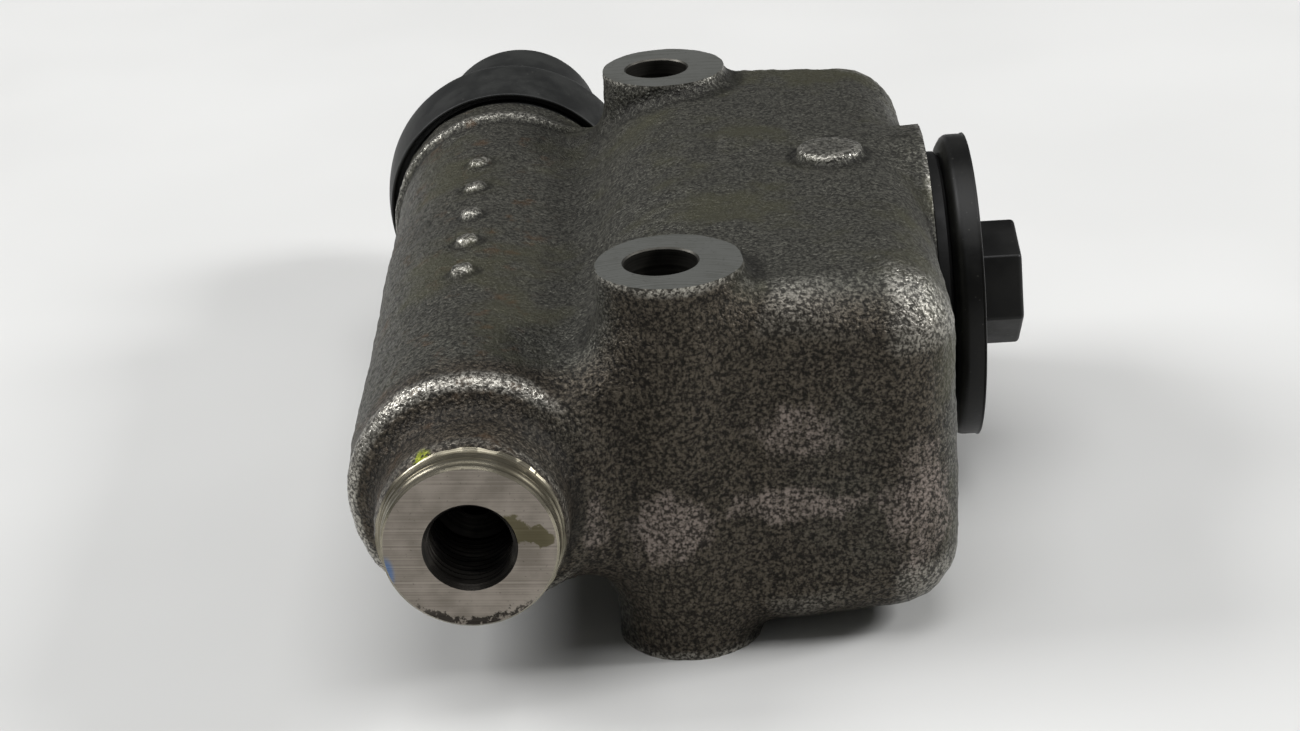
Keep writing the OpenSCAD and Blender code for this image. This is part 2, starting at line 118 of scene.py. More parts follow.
castIronLook = {
    # mm between the grains that the mould's sand leaves, and how much each kind counts. The finest
    # real ones are nearer 0.2 mm, and are drawn coarser so that they show.
    "grain": 0.34, "coarse": 0.66, "pebble": 0.6, "grainShare": 0.42, "coarseShare": 0.44, "pebbleShare": 0.14,
    "patch": 4.5, "stain": 17.0,  # mm across the small and the large stains
    "grainDepth": 0.0005,  # metres
    "wipeLean": 32, "wipeScale": (0.9, 0.2, 0.13),  # degrees, and how many wipe marks there are in a millimetre
    "dabAt": (-33.0, -67.0, 40.2), "dabReach": (1.7, 2.2, 1.7),  # the inspector's dab of paint
    # of these colours, pale is partly bare rubbed iron and partly a painted highlight, the two oiled colours are
    # partly an oil stain and partly painted shade, and the near-black one for the creases is painted shade
    "dark": "#2e2d29", "mid": "#69685f", "pale": "#bcb9af", "olive": "#504f3c", "rust": "#5c4630",
    "oiledShadedDark": "#1d1a16", "oiledShadedMid": "#625a4e", "tan": "#a0948c", "creaseShade": "#141311", "dab": "#8b9424",
    # places on the near wall rubbed down to a pinkish tan: x, z, how far each reaches and how strongly
    "rubbed": [(-11.5, 24.0, 3.4, 10.0, 0.75), (-1.5, 21.0, 11.0, 8.5, 0.95), (17.0, 23.0, 17.0, 4.6, 0.85),
               (18.5, 34.0, 13.0, 7.5, 0.62), (35.0, 20.0, 9.5, 21.0, 0.68)],
}


# Sand-cast grey iron, shot-blasted and oiled: a dark dull skin of round grains. Where it bulges its grains glint one
# by one, partly rubbed bare and partly a painted highlight. It keeps brown and olive stains where the oil lay, and
# painted shade deepens the brown of the near end and darkens the creases.
def makeSandCastIron():
    look = castIronLook
    material, add, place = startMaterial("sandCastGreyIron")
    grain, coarse, patch, stain = [
        add("TexNoise", {"Vector": place, "Scale": 1 / look[size], "Detail": detail, "Roughness": 0.6})
        for size, detail in (("grain", 2), ("coarse", 3), ("patch", 5), ("stain", 4))]
    pebble = add("TexVoronoi", {"Vector": raggedPlace(add, place, 1.0, 0.5), "Scale": 1 / look["pebble"],
                                "Smoothness": 0.35}, feature="SMOOTH_F1")
    pebble = add("MapRange", [pebble, 0.75, 0.1])
    wearAndHighlight, hollow = [add("Attribute", output="Fac", attribute_name=name) for name in ("wearAndHighlight", "hollow")]
    across, along = [add("SeparateXYZ", [place], axis) for axis in "XY"]
    relief = add("Math", [coarse, look["coarseShare"]], **times)
    relief = add("Math", [grain, look["grainShare"], relief], operation="MULTIPLY_ADD")
    relief = add("Math", [pebble, look["pebbleShare"], relief], operation="MULTIPLY_ADD")
    raised = add("MapRange", [relief, 0.38, 0.64], **softly)

    skin = add("Mix", {0: raised, 6: hexColour(look["dark"]), 7: hexColour(look["mid"])}, **tint)
    olive = add("MapRange", [stain, 0.48, 0.66, 0, 0.6], **softly)
    skin = add("Mix", {0: olive, 6: skin, 7: hexColour(look["olive"])}, **tint)
    # the near end: partly a brown oil stain and partly painted shade on the side turned away from the lamps
    oiledAndShaded = add("Mix", {0: raised, 6: hexColour(look["oiledShadedDark"]), 7: hexColour(look["oiledShadedMid"])}, **tint)
    nearEndStainAndShade = add("Math", [add("MapRange", [along, -48, -52.5], **softly),
                           add("MapRange", [stain, 0.3, 0.5, 0.6, 0.95], **softly)], **times)
    skin = add("Mix", {0: nearEndStainAndShade, 6: skin, 7: oiledAndShaded}, **tint)
    rust = add("Math", [add("MapRange", [patch, 0.56, 0.7, 0, 0.5], **softly),
                        add("MapRange", [across, -14, -22], **softly)], **times)
    skin = add("Mix", {0: rust, 6: skin, 7: hexColour(look["rust"])}, **tint)

    # the rubbed places, broken up by slanting wipe marks and by the grain
    lean = (0, math.radians(look["wipeLean"]), 0)
    wipe = add("Mapping", {"Vector": place, "Rotation": lean, "Scale": look["wipeScale"]})
    wipe = add("TexNoise", {"Vector": wipe, "Scale": 1, "Detail": 3, "Roughness": 0.6})
    rubbed = add("Math", [wipe, patch], **plus)
    rubbed = add("Math", [rubbed, 1.3], **minus)
    ragged = raggedPlace(add, place, 6.0, 7.0)
    for x, z, wide, high, strength in look["rubbed"]:
        spot = spotMask(add, ragged, (x, -53.5, z), (wide, 12, high), 0.2)
        rubbed = add("Math", [spot, strength, rubbed], operation="MULTIPLY_ADD")
    rubbed = add("MapRange", [rubbed, 0.0, 0.55], **softly)
    rubbed = add("Math", [rubbed, add("MapRange", [along, -46, -51], **softly)], **times)
    rubbed = add("Math", [rubbed, add("MapRange", [relief, 0.4, 0.6, 0.08, 0.85], **softly)], **times)
    skin = add("Mix", {0: rubbed, 6: skin, 7: hexColour(look["tan"])}, **tint)

    # painted highlight: pale on bulging grains and on curved edges, partly iron rubbed bare and partly painted glints
    # where the lamps catch them
    bareAndPaintedHighlight = add("Math", [wearAndHighlight, add("MapRange", [relief, 0.42, 0.58, 0.1, 0.85], **softly)], **times)
    glint = add("Math", [bareAndPaintedHighlight, add("MapRange", [relief, 0.68, 0.78, 0, 0.7], **softly)], **most)
    skin = add("Mix", {0: glint, 6: skin, 7: hexColour(look["pale"])}, **tint)
    # painted shade: the dips and creases darkened towards near-black
    skin = add("Mix", {0: add("Math", [hollow, 0.55], **times), 6: skin, 7: hexColour(look["creaseShade"])}, **tint)
    dab = add("Math", [spotMask(add, place, look["dabAt"], look["dabReach"], 0.4),
                       add("MapRange", [coarse, 0.42, 0.5, 0, 0.85], **softly)], **times)
    skin = add("Mix", {0: dab, 6: skin, 7: hexColour(look["dab"])}, **tint)
    dull = add("MapRange", [relief, 0.38, 0.64, 0.55, 0.4], **softly)
    dull = add("Math", [wearAndHighlight, -0.2, dull], operation="MULTIPLY_ADD")
    dull = add("Math", [rubbed, 0.15, dull], operation="MULTIPLY_ADD")
    depth = add("Math", [wearAndHighlight, -0.5 * look["grainDepth"], look["grainDepth"]], operation="MULTIPLY_ADD")
    return finishMaterial(material, add, relief, depth, Base_Color=skin, Roughness=dull, Metallic=0.72)


cutIronLook = {"cloud": 4.5, "speck": 0.5, "speckColour": "#3e3b35"}  # mm across the clouds and the dark specks


# Iron faced flat by a cutter or turned on a lathe: paler than the skin, with fine tool lines.
# The tool marks run round the middle given, or straight across when there is none. Real ones lie
# nearer 0.1 mm apart, and are drawn coarser so that they show.
def makeCutIron(name, light, dark, roughness, spacing, depth, centre=None, marks=None):
    material, add, place = startMaterial(name)
    if centre is None:
        line = add("VectorMath", [place, (0.06, 0, 1)], output="Value", operation="DOT_PRODUCT")
    else:
        away = add("VectorMath", [place, tuple(c or 0 for c in centre)], **minus)
        away = add("VectorMath", [away, tuple(float(c is not None) for c in centre)], **times)
        line = add("VectorMath", [away], output="Value", operation="LENGTH")
    lines = add("TexNoise", {"W": add("Math", [line, 1 / spacing], **times), "Scale": 1, "Detail": 2},
                noise_dimensions="1D")
    cloud, speck = [add("TexNoise", {"Vector": place, "Scale": 1 / cutIronLook[size], "Detail": 3})
                    for size in ("cloud", "speck")]
    shade = add("Math", [lines, 0.4, add("Math", [cloud, 0.6], **times)], operation="MULTIPLY_ADD")
    share = add("MapRange", [shade, 0.34, 0.66], **softly)
    colour = add("Mix", {0: share, 6: hexColour(dark), 7: hexColour(light)}, **tint)
    speck = add("MapRange", [speck, 0.62, 0.74, 0, 0.45], **softly)
    colour = add("Mix", {0: speck, 6: colour, 7: hexColour(cutIronLook["speckColour"])}, **tint)
    dull = add("MapRange", [shade, 0.35, 0.65, roughness + 0.08, roughness - 0.05], **softly)
    for mark, code in marks(add, place) if marks else ():
        colour = add("Mix", {0: mark, 6: colour, 7: hexColour(code)}, **tint)
        dull = add("Math", [mark, 0.25, dull], operation="MULTIPLY_ADD")
    return finishMaterial(material, add, lines, depth, Base_Color=colour, Roughness=dull, Metallic=0.88)


outletLook = {
    "pitSize": 1.4, "pitColour": "#2f2b27",  # mm
    # the oil stain in two overlapping spots: x, z, and how far each reaches
    "stains": [(-20.9, 31.2, 2.0, 2.1), (-18.6, 29.9, 2.4, 1.5)], "stainColour": "#676148",
    "smearAt": (-38.7, outletFaceY, 25.4), "smearReach": (1.3, 3, 3.0), "smearColour": "#4f7fb8",
}


# The outlet's face: its lower rim keeps pits of the cast skin, an oil stain runs from the hole,
# and the inspector's paint left a blue smear at the rim
def outletMarks(add, place):
    look = outletLook
    ragged = raggedPlace(add, place, 3.2, 5.0)
    rough = add("TexNoise", {"Vector": place, "Scale": 1 / look["pitSize"], "Detail": 5, "Roughness": 0.7})
    fromAxis = add("VectorMath", [add("VectorMath", [place, (barrelX, 0, midZ)], **minus), (1, 0, 1)], **times)
    fromAxis = add("VectorMath", [fromAxis], output="Value", operation="LENGTH")
    low = add("MapRange", [add("SeparateXYZ", [place], "Z"), 22.5, 18.5], **softly)
    pits = add("Math", [low, add("MapRange", [fromAxis, 9.4, 11.2, 0, 0.25], **softly)], **times)
    pits = add("MapRange", [add("Math", [pits, rough], **plus), 0.66, 0.72, 0, 0.9], **softly)
    pits = add("Math", [pits, low], **times)
    stain = [spotMask(add, ragged, (x, outletFaceY, z), (wide, 9, high), 0.8)
             for x, z, wide, high in look["stains"]]
    stain = add("Math", [add("Math", stain, **most), 0.88], **times)
    smear = add("Math", [spotMask(add, place, look["smearAt"], look["smearReach"], 0.4), 0.6], **times)
    return [(pits, look["pitColour"]), (stain, look["stainColour"]), (smear, look["smearColour"])]


nylonLook = {
    "peel": 1.1, "smear": 9.0, "speck": 0.6,  # mm
    "peelDepth": 0.00002,  # metres
    "dark": "#070706", "pale": "#12120f", "rubbed": "#4a4a44", "ior": 1.53,
}


# Injection-moulded black nylon: deep black and satin, with a faint orange-peel and rubbed specks
def makeMouldedNylon():
    look = nylonLook
    material, add, place = startMaterial("mouldedBlackNylon")
    peel, smear, speck = [
        add("TexNoise", {"Vector": place, "Scale": 1 / look[size], "Detail": detail, "Roughness": 0.6})
        for size, detail in (("peel", 2), ("smear", 5), ("speck", 1))]
    share = add("MapRange", [smear, 0.35, 0.7], **softly)
    colour = add("Mix", {0: share, 6: hexColour(look["dark"]), 7: hexColour(look["pale"])}, **tint)
    share = add("MapRange", [speck, 0.72, 0.78, 0, 0.5], **softly)
    colour = add("Mix", {0: share, 6: colour, 7: hexColour(look["rubbed"])}, **tint)
    dull = add("MapRange", [smear, 0.35, 0.65, 0.36, 0.5], **softly)
    return finishMaterial(material, add, peel, look["peelDepth"], Base_Color=colour, Roughness=dull,
                          IOR=look["ior"], Specular_IOR_Level=0.3)


rubberLook = {
    "bloom": 7.0, "pore": 0.8, "dust": 2.6,  # mm
    "poreDepth": 0.00003,  # metres
    "dustColour": "#5d5d57", "ior": 1.5,
}


# Moulded rubber: near black and dull, with a little powder bloom in soft streaks and fine pores
def makeMouldedRubber(name, dark, pale, roughness):
    look = rubberLook
    material, add, place = startMaterial(name)
    bloom, pores = [add("TexNoise", {"Vector": place, "Scale": 1 / look[size], "Detail": 4, "Roughness": 0.6})
                    for size in ("bloom", "pore")]
    dust = add("TexVoronoi", {"Vector": place, "Scale": 1 / look["dust"]})
    share = add("MapRange", [bloom, 0.34, 0.68], **softly)
    colour = add("Mix", {0: share, 6: hexColour(dark), 7: hexColour(pale)}, **tint)
    share = add("MapRange", [dust, 0.09, 0.05, 0, 0.3], **softly)
    colour = add("Mix", {0: share, 6: colour, 7: hexColour(look["dustColour"])}, **tint)
    dull = add("MapRange", [bloom, 0.35, 0.65, roughness - 0.05, roughness + 0.08], **softly)
    return finishMaterial(material, add, pores, look["poreDepth"], Base_Color=colour, Roughness=dull,
                          IOR=look["ior"], Specular_IOR_Level=0.35)


brightLook = {"mark": 0.6, "cloud": 6.0, "markDepth": 0.000004}  # mm, mm and metres


# Thin steel or aluminium made on a press, a lathe or a coiler: bright, with the marks of that work
# breaking its shine
def makeBrightMetal(name, light, dark, roughness, stretch=(1, 1, 1)):
    material, add, place = startMaterial(name)
    stretched = add("VectorMath", [place, stretch], **times)
    marks = add("TexNoise", {"Vector": stretched, "Scale": 1 / brightLook["mark"], "Detail": 3})
    cloud = add("TexNoise", {"Vector": place, "Scale": 1 / brightLook["cloud"], "Detail": 4})
    share = add("MapRange", [cloud, 0.35, 0.65], **softly)
    colour = add("Mix", {0: share, 6: hexColour(dark), 7: hexColour(light)}, **tint)
    share = add("MapRange", [marks, 0.6, 0.8, 0, 0.4], **softly)
    colour = add("Mix", {0: share, 6: colour, 7: hexColour(dark)}, **tint)
    dull = add("MapRange", [marks, 0.35, 0.65, roughness - 0.05, roughness + 0.08], **softly)
    return finishMaterial(material, add, marks, brightLook["markDepth"], Base_Color=colour, Roughness=dull,
                          Metallic=1.0)


sandCastIron = makeSandCastIron()
# spacing is mm between tool marks, and depth is metres
bossFace = makeCutIron("millFacedIron", "#8f908b", "#6f706b", roughness=0.5, spacing=0.5, depth=0.000008,
                       centre=(0.0, -70.0, None))
turnedIron = makeCutIron("turnedIron", "#9d9786", "#666152", roughness=0.27, spacing=0.22, depth=0.000014,
                         centre=(None, -71.5, None))
drilledIron = makeCutIron("drilledIron", "#5c5a54", "#2c2b27", roughness=0.4, spacing=0.6, depth=0.00002,
                          centre=(None, None, 0.0))
# the tapped holes' colours are kept dark as painted shade deep inside the holes
threadedIronPaintedShade = makeCutIron("tappedIronPaintedShade", "#3d3a36", "#181715", roughness=0.3, spacing=0.3, depth=0.00001,
                           centre=(None, -71.5, None))
honedBore = makeCutIron("honedBoreIron", "#a5a39b", "#74726b", roughness=0.25, spacing=0.3, depth=0.000004,
                        centre=(None, 0.0, None))
coredIron = makeCutIron("coredIronInside", "#5b5952", "#33322d", roughness=0.65, spacing=1.1, depth=0.00007,
                        centre=(0.0, 0.0, 0.0))
neckFace = makeCutIron("turnedNeckFace", "#85857e", "#63635c", roughness=0.45, spacing=0.35, depth=0.000007,
                       centre=(None, neckY, midZ))
outletFace = makeCutIron("groundIronOutletFace", "#958d84", "#7b746b", roughness=0.42, spacing=0.3,
                         depth=0.000006, marks=outletMarks)
mouldedNylon = makeMouldedNylon()
bootRubber = makeMouldedRubber("mouldedBootRubber", "#171817", "#272826", roughness=0.5)
gasketRubber = makeMouldedRubber("dieCutGasketRubber", "#111111", "#1b1b1a", roughness=0.6)
cupRubber = makeMouldedRubber("mouldedCupRubber", "#0f0f0f", "#191918", roughness=0.4)
platedSteel = makeBrightMetal("zincPlatedPressedSteel", "#c9c8bd", "#9b998c", roughness=0.35)
ringSteel = makeBrightMetal("phosphatedRingSteel", "#4a4a48", "#2c2c2b", roughness=0.5)
springSteel = makeBrightMetal("drawnSpringSteel", "#a9a8a2", "#74736e", roughness=0.32, stretch=(1, 0.2, 1))
pistonAluminium = makeBrightMetal("turnedAnodisedAluminium", "#d0cfc8", "#b2b1a9", roughness=0.3,
                                  stretch=(0.3, 4, 0.3))
print("materials made")


def alongBarrel(radius, along, angle):
    return (barrelX + radius * math.cos(angle), along, midZ + radius * math.sin(angle))


def alongNeck(radius, along, angle):
    return (along, neckY + radius * math.cos(angle), midZ + radius * math.sin(angle))


def makePiece(name, points, faces, *materials, sharpAt=35):
    mesh = bpy.data.meshes.new(name)
    mesh.from_pydata((np.asarray(points, dtype=float) / 1000).tolist(), [], [list(f) for f in faces])
    mesh.validate()
    work = bmesh.new()
    work.from_mesh(mesh)
    bmesh.ops.recalc_face_normals(work, faces=work.faces)
    work.to_mesh(mesh)
    work.free()
    for material in materials:
        mesh.materials.append(material)
    piece = bpy.data.objects.new(name, mesh)
    bpy.context.scene.collection.objects.link(piece)
    softenShading(piece, sharpAt)
    return piece


def softenShading(piece, sharpAt):
    piece.data.shade_smooth()
    piece.data.set_sharp_from_angle(angle=math.radians(sharpAt))


# A closed outline of (radius, along) points, turned about an axis
def turnedShape(outline, axis, around=96):
    points, rings, faces = [], [], []
    for radius, along in outline:
        count = 1 if radius < 1e-6 else around
        rings.append(range(len(points), len(points) + count))
        points += [axis(radius, along, 2 * math.pi * i / around) for i in range(count)]
    for low, high in zip(rings, list(rings[1:]) + [rings[0]]):
        if len(low) == 1 and len(high) == 1:
            continue
        for i in range(around):
            j = (i + 1) % around
            corners = [low[i % len(low)], low[j % len(low)], high[j % len(high)], high[i % len(high)]]
            faces.append(list(dict.fromkeys(corners)))
    return points, faces


# A threaded rod: its rows of points climb with the thread, so the crests come out clean
def threadedShape(inner, outer, pitch, start, end, axis, around=72):
    teeth = [inner, inner, (inner + outer) / 2, outer, outer, (inner + outer) / 2]
    steps = len(teeth)
    rows = int((end - start) / pitch) * steps + steps
    points = [axis(teeth[j % steps], start + pitch * (j / steps + i / around), 2 * math.pi * i / around)
              for j in range(rows + 1) for i in range(around)]

    def at(j, i):
        return (j + steps) * around if i == around else j * around + i

    faces = [[at(j, i), at(j, i + 1), at(j + 1, i + 1), at(j + 1, i)]
             for i in range(around) for j in range(rows if i < around - 1 else rows - steps)]
    low = [at(0, i) for i in range(around)] + [at(j, 0) for j in range(steps, 0, -1)]
    high = [at(rows, i) for i in range(around)] + [at(rows - j, around - 1) for j in range(1, steps + 1)]
    lengthwise = 1 if axis is alongBarrel else 0
    for loop, along in ((low, start), (high, points[at(rows, 0)][lengthwise])):
        points.append(axis(0, along, 0))
        faces += [[a, b, len(points) - 1] for a, b in zip(loop, loop[1:] + loop[:1])]
    return points, faces


def boxShape(low, high):
    points = [(x, y, z) for x in (low[0], high[0]) for y in (low[1], high[1]) for z in (low[2], high[2])]
    return points, [[0, 1, 3, 2], [4, 6, 7, 5], [0, 4, 5, 1], [2, 3, 7, 6], [0, 2, 6, 4], [1, 5, 7, 3]]


# Works a list of (operation, shape or piece, material) into a piece, one after another
def machine(piece, steps):
    tools = []
    for number, (operation, shape, material) in enumerate(steps):
        tool = shape if isinstance(shape, bpy.types.Object) else makePiece(f"tool{number}", *shape, material)
        change = piece.modifiers.new(f"step{number}", "BOOLEAN")
        change.operation, change.solver, change.object = operation, "MANIFOLD", tool
        change.material_mode = "TRANSFER"
        tools.append(tool)
    graph = bpy.context.evaluated_depsgraph_get()
    made = bpy.data.meshes.new_from_object(piece.evaluated_get(graph), preserve_all_data_layers=True, depsgraph=graph)
    made.name = piece.name
    old = piece.data
    piece.modifiers.clear()
    piece.data = made
    bpy.data.meshes.remove(old)
    for tool in tools:
        mesh = tool.data
        bpy.data.objects.remove(tool)
        bpy.data.meshes.remove(mesh)


castShape = {
    "voxel": 0.71,  # mm between the points of the skin
    "waviness": 0.22, "wave": 9.0,  # how far the skin strays from true, and over what length
    "lump": 0.12, "lumpSize": 2.4,
    "grit": 0.11, "gritSize": 1.15, "dust": 0.05,  # the last roughness has no size, it differs at every point
    "mostRise": 0.35,  # no bump stands out more, so that the casting stays the size that was drawn
    "seed": 7,
    # the barrel and the outlet: where along the axis, and the radius there
    "barrelStart": -56.8, "barrelEnd": 64.5,
    "barrelRadii": ([-56.8, 50, 51.2, 52.6, 53.8, 66], [18, 19, 20, 20, 19.7, 19.7]),
    "outletStart": -72.4, "outletRadii": ([-72, -70, -66, -56], [12.1, 12.3, 13.15, 13.4]),
    "webHalfHeight": 13.3, "webHalfLength": 52.6,
    "blockSide": 40.3, "blockHalfLength": 53.4, "blockHalfHeight": 26.3,
    "slope": (-0.8015, 0.598),  # which way the slope from the block down to the web faces
    "bossX": 1.2, "bossY": 44.75, "bossRadius": 10.2, "bossHalfHeight": 29.4,
    "holeY": 44.45, "holeRadius": 5.15, "holeMouth": 6.4, "holeChamfer": 0.25,
    "neckRadius": 25.9, "neckEnd": 42.3,
    "padX": 26.3, "padY": 1.6, "padRadius": 4.9, "padTop": 56.4,
    # the row of pips, on a line that leans over from the barrel's top
    "pipLean": (0.139, 0.990), "pipMiddle": 6, "pipSpacing": 12, "pipRadius": 1.6, "pipTop": 19.65,
}


def ease(value, low, high):
    t = np.clip((value - low) / (high - low), 0, 1)
    return t * t * (3 - 2 * t)


# Joins two solids with a fillet about half as wide as the spread
def weld(a, b, spread):
    h = np.maximum(spread - np.abs(a - b), 0) / spread
    return np.minimum(a, b) - h * h * spread / 4


# Where several sides meet, with the edges between them rounded
def roundMeet(sides, radius):
    reach = np.sqrt(sum(np.maximum(side + radius, 0) ** 2 for side in sides))
    return np.minimum(np.maximum.reduce(sides), -radius) + reach


# How far a place is outside the skin of the casting, in millimetres
def castSkin(x, y, z):
    shape = castShape
    fromBarrel = np.hypot(x - barrelX, z - midZ)
    up = np.abs(z - midZ)
    barrelRadius = np.interp(y, *shape["barrelRadii"])
    body = roundMeet([fromBarrel - barrelRadius, shape["barrelStart"] - y, y - shape["barrelEnd"]], radius=2.5)
    outletRadius = np.interp(y, *shape["outletRadii"])
    outlet = np.maximum.reduce([fromBarrel - outletRadius, shape["outletStart"] - y, y + 50])
    body = weld(body, outlet, spread=4.5)
    web = roundMeet([up - shape["webHalfHeight"], np.abs(y) - shape["webHalfLength"], x - 1, -32 - x], radius=2)
    body = weld(body, web, spread=6)
    side, end, top = x - shape["blockSide"], np.abs(y) - shape["blockHalfLength"], up - shape["blockHalfHeight"]
    block = roundMeet([side, end, top], radius=7 + 3 * ease(side, -24, -9))
    outX, outZ = shape["slope"]
    block = roundMeet([block, (x + 4) * outX + top * outZ], radius=7)
    body = weld(body, block, spread=7)
    fromBoss = np.hypot(x - shape["bossX"], np.abs(y) - shape["bossY"])
    column = np.maximum(fromBoss - shape["bossRadius"], up - shape["bossHalfHeight"])
    body = weld(body, column, spread=3.2)
    fromNeck = np.hypot(y - neckY, z - midZ)
    neck = roundMeet([fromNeck - shape["neckRadius"], x - shape["neckEnd"], 10 - x], radius=0.4)
    body = weld(body, neck, spread=2)
    fromPad = np.hypot(x - shape["padX"], y - shape["padY"])
    pad = roundMeet([fromPad - shape["padRadius"], z - shape["padTop"], 40 - z], radius=0.6)
    body = weld(body, pad, spread=1.2)
    lean, rest = shape["pipLean"]
    upright = (z - midZ) * rest - (x - barrelX) * lean
    across = (z - midZ) * lean + (x - barrelX) * rest
    middle, spacing = shape["pipMiddle"], shape["pipSpacing"]
    fromPip = np.abs(y - middle - spacing * np.clip(np.round((y - middle) / spacing), -2, 2))
    fromPip = np.hypot(across, fromPip) - shape["pipRadius"]
    pips = roundMeet([fromPip, upright - shape["pipTop"], 10 - upright], radius=0.6)
    return weld(body, pips, spread=0.9)


# Smooth random lumps, about one size apart, between -0.5 and 0.5
def lumps(points, size, seed):
    table = np.random.default_rng(seed).random((32, 32, 32)) - 0.5
    cell = np.floor(points / size).astype(int)
    part = points / size - cell
    part = part * part * (3 - 2 * part)
    total = 0
    for corner in range(8):
        step = np.array([corner & 1, corner >> 1 & 1, corner >> 2 & 1])
        weight = np.prod(np.where(step, part, 1 - part), axis=1)
        total = total + weight * table[tuple(((cell + step) % 32).T)]
    return total


# Turns a distance rule into points and faces, and settles the points exactly on its surface
def skinOf(rule, low, high, voxel):
    counts = [int((b - a) / voxel) + 1 for a, b in zip(low, high)]
    axes = [a + voxel * np.arange(n, dtype=np.float32) for a, n in zip(low, counts)]
    grid = openvdb.FloatGrid(3.0)
    grid.copyFromArray(rule(*np.meshgrid(*axes, indexing="ij")).astype(np.float32))
    points, faces = grid.convertToQuads(0.0)
    points = points.astype(float) * voxel + np.array(low)
    for settle in range(3):
        slope = slopeOf(rule, points)
        points = points - slope * rule(*points.T)[:, None] / np.maximum((slope ** 2).sum(1), 0.3)[:, None]
    return points, faces[:, ::-1], slope


def slopeOf(rule, points, reach=0.15):
    steps = np.eye(3) * reach
    return np.stack([(rule(*(points + s).T) - rule(*(points - s).T)) / (2 * reach) for s in steps], axis=1)


# What the machine shop cuts: outlines of (radius, along) points in millimetres
cutShape = {
    "outletEdge": [(11.5, -71.6), (11.95, -71.15), (11.97, -70.3), (12.1, -70.15), (12.15, -69.1), (12.35, -68.95),
                   (12.4, -67.9), (12.9, -67.4), (16, -67.4), (16, -73), (11.5, -73)],
    "outletThread": {"inner": 5.75, "outer": 6.3, "pitch": 1.27, "start": -73.2, "end": -60.5},
    "outletHole": [(0, -73), (7.0, -73), (6.95, -72.0), (5.75, -70.85), (5.75, -57.5), (0, -54.2)],
    "outletPassage": [(0, -60), (3, -60), (3, -49), (0, -49)],
    "bore": [(0, -50), (12.7, -50), (12.7, 57.95), (13.6, 57.95), (13.6, 59.35), (12.7, 59.35), (12.7, 62),
             (15.2, 64.5), (0, 64.5)],
    "bootSeat": [(24, 58), (17.3, 58), (17.3, 61), (19.1, 61), (19.1, 62.5), (18.6, 63), (18.6, 67), (24, 67)],
    "fillerThread": {"inner": 17.5, "outer": 18.3, "pitch": 2.0, "start": 32.5, "end": 42.5},
    "fillerMouth": [(0, 34), (17.5, 34), (17.5, 40.6), (18.4, 41.5), (18.4, 43), (0, 43)],
    "neckFaceX": 41.3,
    "ports": [(4.95, 0.6), (20.35, 2.0)],  # place along the bore, and radius
}


def makeCasting():
    shape, cut = castShape, cutShape
    points, faces, slope = skinOf(castSkin, (-48, -74, -3), (44.5, 67, 60.5), shape["voxel"])
    outward = slope / np.linalg.norm(slope, axis=1)[:, None]
    seed = shape["seed"]
    rise = 2 * shape["waviness"] * lumps(points, shape["wave"], seed)
    rise += 2 * shape["lump"] * lumps(points, shape["lumpSize"], seed + 1)
    rise += 2 * shape["grit"] * lumps(points, shape["gritSize"], seed + 2)
    rise += shape["dust"] * (np.random.default_rng(seed + 3).random(len(points)) - 0.5)
    points = points + outward * np.minimum(rise, shape["mostRise"])[:, None]
    casting = makePiece("castBody", points, faces, sandCastIron)
    core = skinOf(reservoirCore, (-8, -52, 4), (39, 52, 53), voxel=1.6)[:2]
    outletThread = threadedShape(**cut["outletThread"], axis=alongBarrel)
    fillerThread = threadedShape(**cut["fillerThread"], axis=alongNeck, around=96)
    machine(casting, [("DIFFERENCE", tool, finish) for tool, finish in [
        # both sides of the bosses milled flat, and the holes drilled through them
        (boxShape((-60, -70, bodyHeight), (60, 70, 70)), bossFace),
        (boxShape((-60, -70, -10), (60, 70, 0)), bossFace),
        (boxShape((cut["neckFaceX"], -60, -5), (50, 60, 65)), neckFace),
        (mountHole(-shape["holeY"]), drilledIron),
        (mountHole(shape["holeY"]), drilledIron),
        (core, coredIron),
        # the outlet's face, its turned edge, the tapped hole and the passage behind it
        (boxShape((-60, -80, -5), (60, outletFaceY, 65)), outletFace),
        (turnedShape(cut["outletEdge"], alongBarrel, 128), turnedIron),
        (outletThread, threadedIronPaintedShade),
        (turnedShape(cut["outletHole"], alongBarrel), threadedIronPaintedShade),
        (turnedShape(cut["outletPassage"], alongBarrel, 48), threadedIronPaintedShade),
        # the bore, with the snap ring's groove near its mouth
        (turnedShape(cut["bore"], alongBarrel, 128), honedBore),
        # the boot's groove and the rim past it, turned at the open end
        (turnedShape(cut["bootSeat"], alongBarrel, 128), turnedIron),
        (boxShape((-60, boreMouthY, -5), (10, 70, 65)), turnedIron),
        # the filler mouth and its thread, and the two ports from the bore
        (fillerThread, threadedIronPaintedShade),
        (turnedShape(cut["fillerMouth"], alongNeck, 128), threadedIronPaintedShade),
    ] + [(port(*place), drilledIron) for place in cut["ports"]]])
    softenShading(casting, 42)
    addWearHighlightAndShade(casting)
    return casting


def mountHole(y):
    def upright(r, along, angle):
        return (r * math.cos(angle), y + r * math.sin(angle), along)
    radius, mouth, chamfer = castShape["holeRadius"], castShape["holeMouth"], castShape["holeChamfer"]
    return turnedShape([(0, -1), (mouth, -1), (radius, chamfer), (radius, bodyHeight - chamfer),
                        (mouth, bodyHeight + 1), (0, bodyHeight + 1)], upright, 96)


def port(y, radius):
    def across(r, along, angle):
        return (along, y + r * math.cos(angle), midZ + r * math.sin(angle))
    return turnedShape([(0, barrelX), (radius, barrelX), (radius, 1), (0, 1)], across, 32)


coreShape = {
    "outerX": 35.8, "halfHeight": 21.8, "corner": 4,
    "middleX": -5, "middleHalfLength": 33.55,
    "longX": 13, "longHalfLength": 48.9,
}


